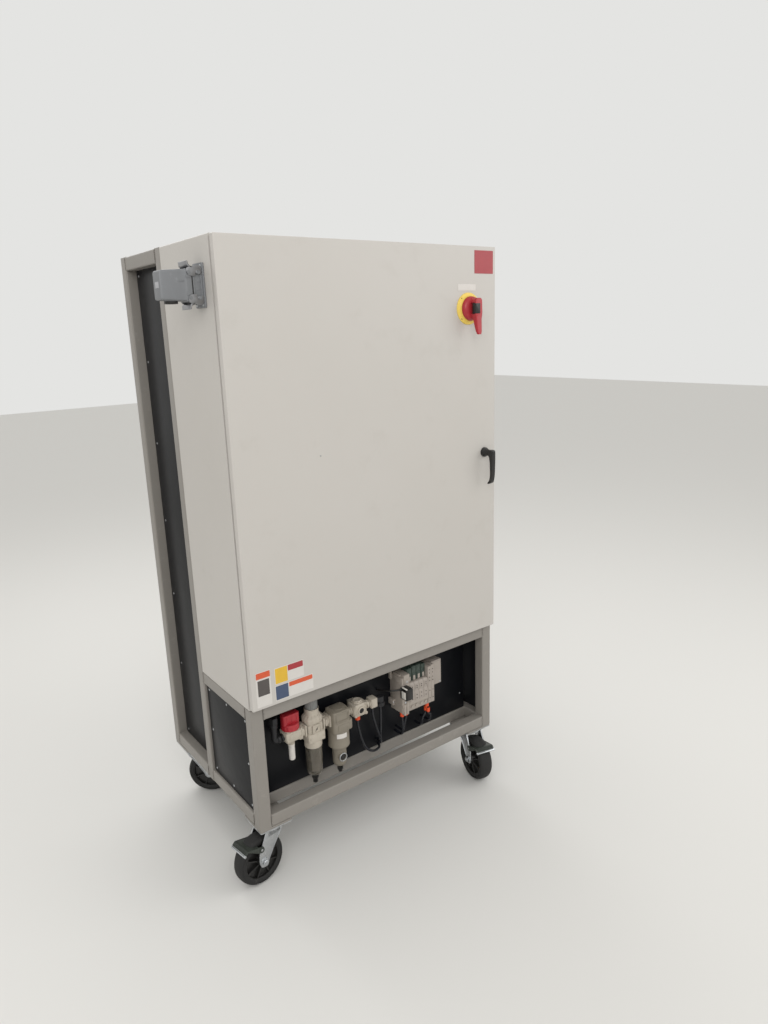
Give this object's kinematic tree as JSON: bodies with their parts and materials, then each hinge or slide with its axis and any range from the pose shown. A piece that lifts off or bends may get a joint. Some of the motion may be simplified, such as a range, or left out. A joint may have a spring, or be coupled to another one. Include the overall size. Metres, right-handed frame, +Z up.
{
  "type": "injection moulding machine control cabinet",
  "caption": "Tall control cabinet with an overlay door on a welded tube stand with castors, a rear bay behind it and an open air-supply bay below.",
  "frame": {"origin": "on the floor, under the middle of the overall box", "axes": "+X along the door's width to the handle side, +Y from the door to the rear, +Z up"},
  "size_m": [1.0234, 0.7042, 1.798],
  "materials": {
    "frame_paint": "satin grey paint on welded square tube",
    "cabinet_paint": "light grey textured powder coat",
    "panel_black": "glossy black panel",
    "zinc": "bright zinc plate",
    "galvanised": "galvanised sheet",
    "tyre_rubber": "solid black rubber",
    "brake_paint": "dark painted pressing with a worn bright edge",
    "seal_foam": "closed-cell foam",
    "plug_white": "matt off-white plastic",
    "black_plastic": "black moulded plastic",
    "switch_yellow": "yellow moulded plastic",
    "knob_red": "red moulded plastic",
    "duct_grey": "grey rigid plastic",
    "device_grey": "dark grey device housing",
    "device_white": "light grey device housing",
    "connector_grey": "grey powder-coated die casting",
    "lever_zinc": "plated spring steel",
    "fitting_dark": "dark iron fitting",
    "unit_white": "off-white casing",
    "knob_grey": "grey ribbed plastic",
    "bowl_clear": "clear bowl, slightly hazed",
    "separator_taupe": "taupe painted casting",
    "manifold_alloy": "off-white painted alloy",
    "fitting_orange": "orange-red moulded release ring",
    "air_tube": "black air tube"
  },
  "bodies": {
    "stand": {"stand_posts": "frame_paint", "cross_rails": "frame_paint", "side_rails": "frame_paint", "castor_pads": "frame_paint", "castor_plates": "zinc", "bay_side_panels": "panel_black", "unit_panel": "panel_black", "rear_panels": "panel_black", "enclosure_body": "cabinet_paint", "latch_flanges": "cabinet_paint", "mounting_plate": "galvanised", "hinge_seats": "cabinet_paint", "roof_plugs": "plug_white", "main_switch": "black_plastic", "wire_ducts": "duct_grey", "din_rails": "zinc", "drives": "device_grey", "control_modules": "device_white", "breakers": "device_white", "contactors": "black_plastic", "terminal_strip": "device_grey", "connector_housing": "connector_grey", "connector_hood": "connector_grey", "air_inlet": "fitting_dark", "shutoff_body": "unit_white", "silencer": "plug_white", "link_blocks": "unit_white", "regulator_body": "unit_white", "regulator_bowl": "bowl_clear", "separator_head": "separator_taupe", "separator_bowl": "separator_taupe", "drain_cocks": "black_plastic", "manifold_base": "manifold_alloy", "valves": "unit_white", "manifold_plug": "black_plastic", "air_fittings": "fitting_orange", "air_tubes": "air_tube"},
    "door_leaf": {"door": "cabinet_paint", "door_gasket": "seal_foam", "door_stiffeners": "cabinet_paint", "hinge_leaves": "zinc", "handle_base": "black_plastic", "switch_plate": "switch_yellow"},
    "handle": {"handle_lever": "black_plastic", "latch_cam": "zinc"},
    "switch_grip": {"switch_knob": "knob_red"},
    "latch_upper": {"hood_lever_upper": "lever_zinc"},
    "latch_lower": {"hood_lever_lower": "lever_zinc"},
    "air_shutoff": {"shutoff_knob": "knob_red"},
    "air_regulator": {"regulator_knob": "knob_grey"},
    "castor_front_left": {"fork_front_left": "zinc"},
    "roller_front_left": {"wheel_front_left": "tyre_rubber"},
    "castor_front_right": {"fork_front_right": "zinc"},
    "roller_front_right": {"wheel_front_right": "tyre_rubber"},
    "castor_rear_left": {"fork_rear_left": "zinc"},
    "roller_rear_left": {"wheel_rear_left": "tyre_rubber"},
    "castor_rear_right": {"fork_rear_right": "zinc"},
    "roller_rear_right": {"wheel_rear_right": "tyre_rubber"},
    "pedal_front_left": {"brake_front_left": "brake_paint"},
    "pedal_front_right": {"brake_front_right": "brake_paint"}
  },
  "joints": [
    {"name": "door_swing", "type": "hinge", "parent": "stand", "child": "door_leaf", "pos_m": [-0.3947, -0.29227, 1.1743], "axis": [0, 0, -1], "range_deg": [0, 105]},
    {"name": "handle_turn", "type": "hinge", "parent": "door_leaf", "child": "handle", "pos_m": [0.4637, -0.31027, 1.1763], "axis": [0, 1, 0], "range_deg": [0, 90]},
    {"name": "main_switch_turn", "type": "hinge", "parent": "door_leaf", "child": "switch_grip", "pos_m": [0.3977, -0.32027, 1.6158], "axis": [0, 1, 0], "range_deg": [0, 90]},
    {"name": "connector_latch_upper", "type": "hinge", "parent": "stand", "child": "latch_upper", "pos_m": [-0.4177, -0.21227, 1.7103], "axis": [0, 1, 0], "range_deg": [0, 60]},
    {"name": "connector_latch_lower", "type": "hinge", "parent": "stand", "child": "latch_lower", "pos_m": [-0.4177, -0.21227, 1.6523], "axis": [0, -1, 0], "range_deg": [0, 60]},
    {"name": "air_shutoff_turn", "type": "hinge", "parent": "stand", "child": "air_shutoff", "pos_m": [-0.2557, -0.22727, 0.4593], "axis": [0, 0, 1], "range_deg": [0, 90]},
    {"name": "air_regulator_turn", "type": "hinge", "parent": "stand", "child": "air_regulator", "pos_m": [-0.1817, -0.22727, 0.4693], "axis": [0, 0, 1], "range_deg": [-360, 360]},
    {"name": "castor_swivel_front_left", "type": "hinge", "parent": "stand", "child": "castor_front_left", "pos_m": [-0.3507, -0.23157, 0.1645], "axis": [0, 0, 1], "continuous": true},
    {"name": "wheel_spin_front_left", "type": "hinge", "parent": "castor_front_left", "child": "roller_front_left", "pos_m": [-0.39526, -0.23783, 0.0762], "axis": [0.1392, -0.9903, 0], "continuous": true},
    {"name": "brake_pedal_front_left", "type": "hinge", "parent": "castor_front_left", "child": "pedal_front_left", "pos_m": [-0.40318, -0.23894, 0.1232], "axis": [0.1392, -0.9903, 0], "range_deg": [0, 8]},
    {"name": "castor_swivel_front_right", "type": "hinge", "parent": "stand", "child": "castor_front_right", "pos_m": [0.4597, -0.23157, 0.1645], "axis": [0, 0, 1], "continuous": true},
    {"name": "wheel_spin_front_right", "type": "hinge", "parent": "castor_front_right", "child": "roller_front_right", "pos_m": [0.44958, -0.27541, 0.0762], "axis": [0.9744, -0.225, 0], "continuous": true},
    {"name": "brake_pedal_front_right", "type": "hinge", "parent": "castor_front_right", "child": "pedal_front_right", "pos_m": [0.44778, -0.28321, 0.1232], "axis": [0.9744, -0.225, 0], "range_deg": [0, 8]},
    {"name": "castor_swivel_rear_left", "type": "hinge", "parent": "stand", "child": "castor_rear_left", "pos_m": [-0.3507, 0.30013, 0.1645], "axis": [0, 0, 1], "continuous": true},
    {"name": "wheel_spin_rear_left", "type": "hinge", "parent": "castor_rear_left", "child": "roller_rear_left", "pos_m": [-0.31524, 0.27243, 0.0762], "axis": [0.6157, 0.788, 0], "continuous": true},
    {"name": "castor_swivel_rear_right", "type": "hinge", "parent": "stand", "child": "castor_rear_right", "pos_m": [0.4597, 0.30013, 0.1645], "axis": [0, 0, 1], "continuous": true},
    {"name": "wheel_spin_rear_right", "type": "hinge", "parent": "castor_rear_right", "child": "roller_rear_right", "pos_m": [0.41623, 0.28849, 0.0762], "axis": [0.2588, -0.9659, 0], "continuous": true}
  ]
}
